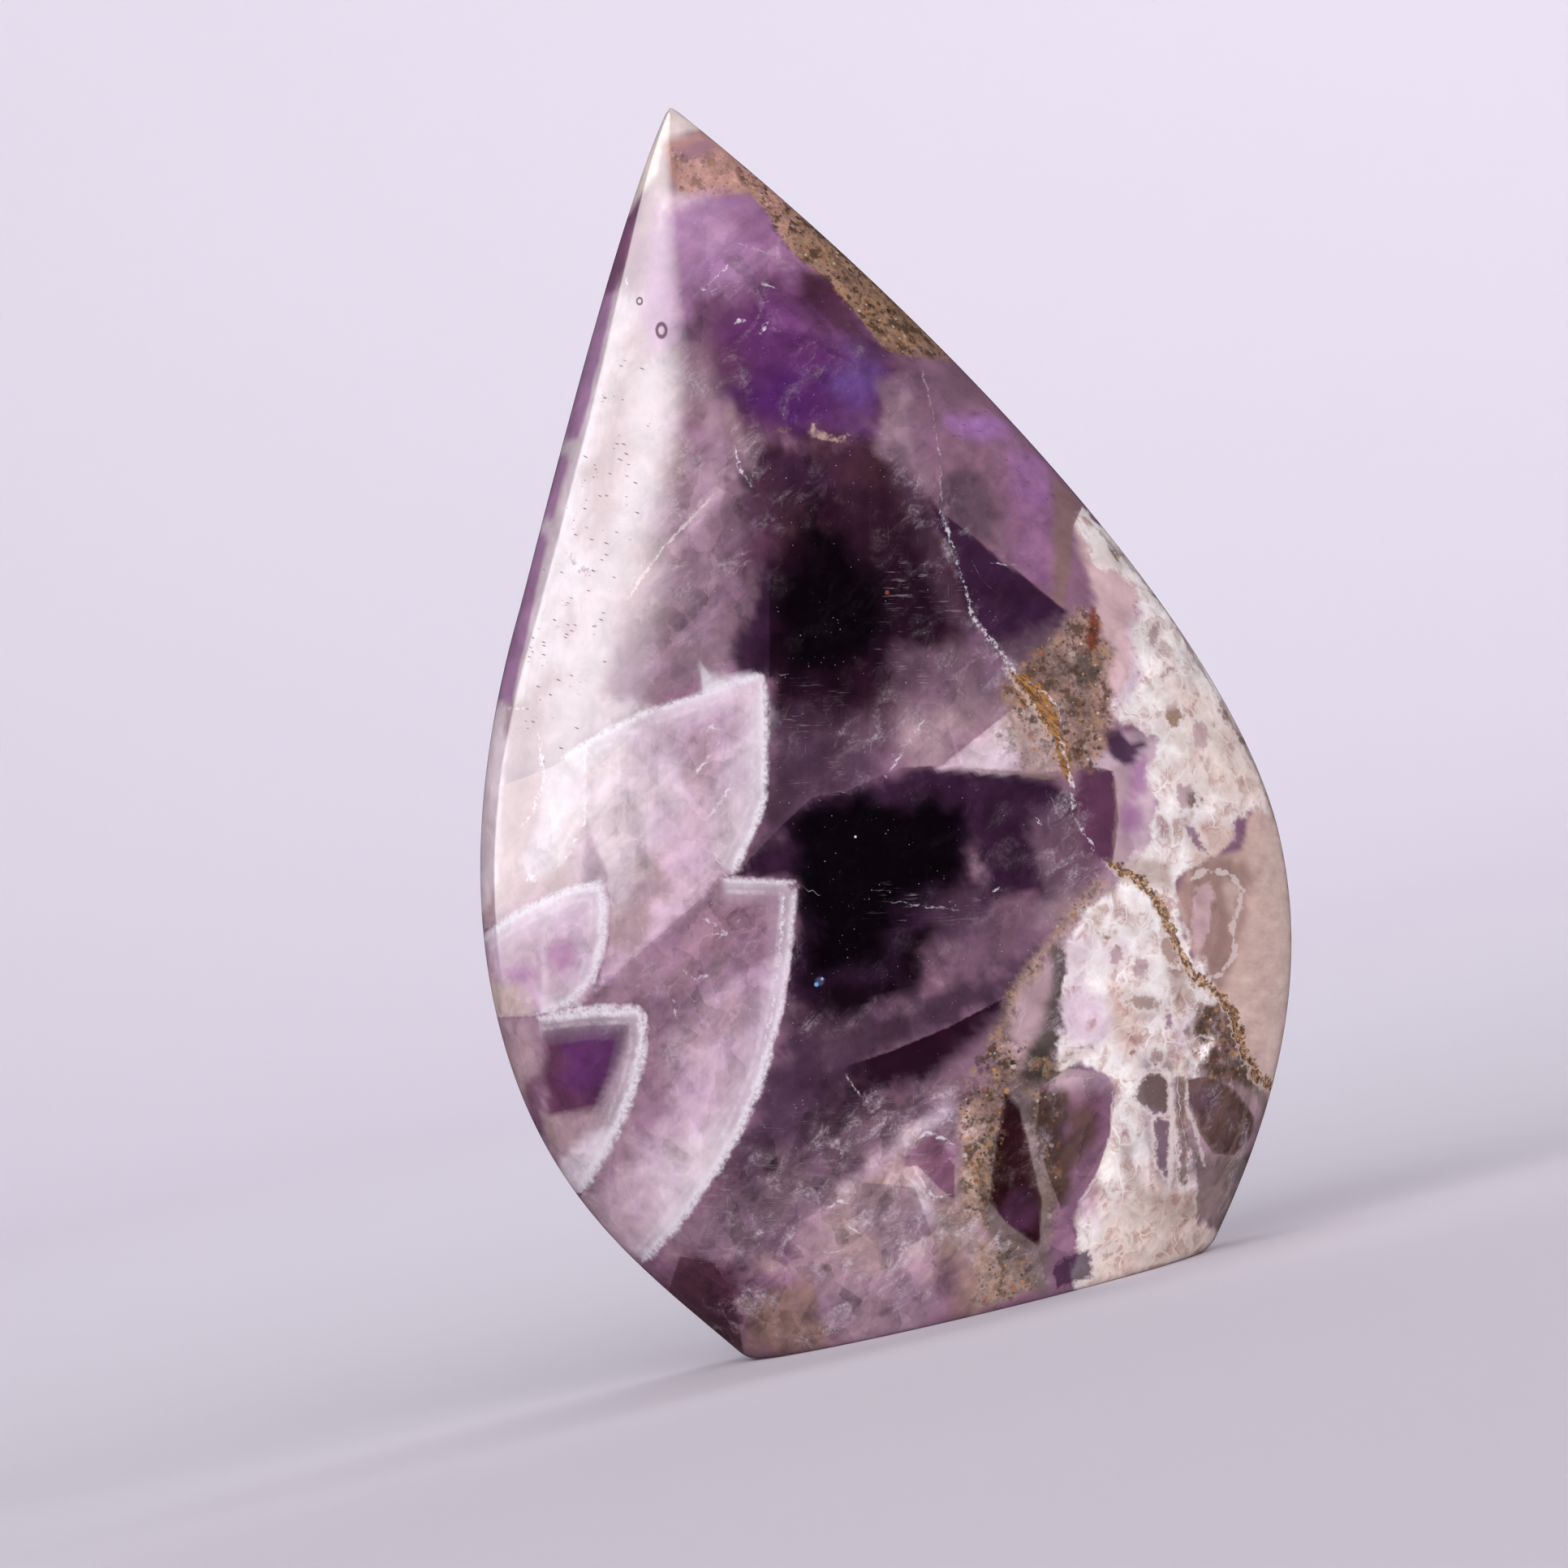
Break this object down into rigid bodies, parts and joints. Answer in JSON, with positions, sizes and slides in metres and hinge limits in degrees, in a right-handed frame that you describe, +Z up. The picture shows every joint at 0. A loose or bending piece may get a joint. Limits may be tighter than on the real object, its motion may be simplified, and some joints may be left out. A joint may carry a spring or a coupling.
{
  "type": "chevron amethyst flame carving",
  "caption": "Polished flame of chevron amethyst, pointed at the top, domed front and back, with a flat cut base that it stands on.",
  "frame": {"origin": "centre of the bounding box in plan, on the flat cut base that the stone stands on", "axes": "+Z up from the cut base to the point, -Y out of the broad front face, +X to the right of that face"},
  "size_m": [0.0558, 0.024, 0.086],
  "materials": {
    "amethyst": "high polish, banded violet and milky quartz with brown veins and white lace"
  },
  "bodies": {
    "root": {"amethyst_flame": "amethyst"}
  },
  "joints": []
}
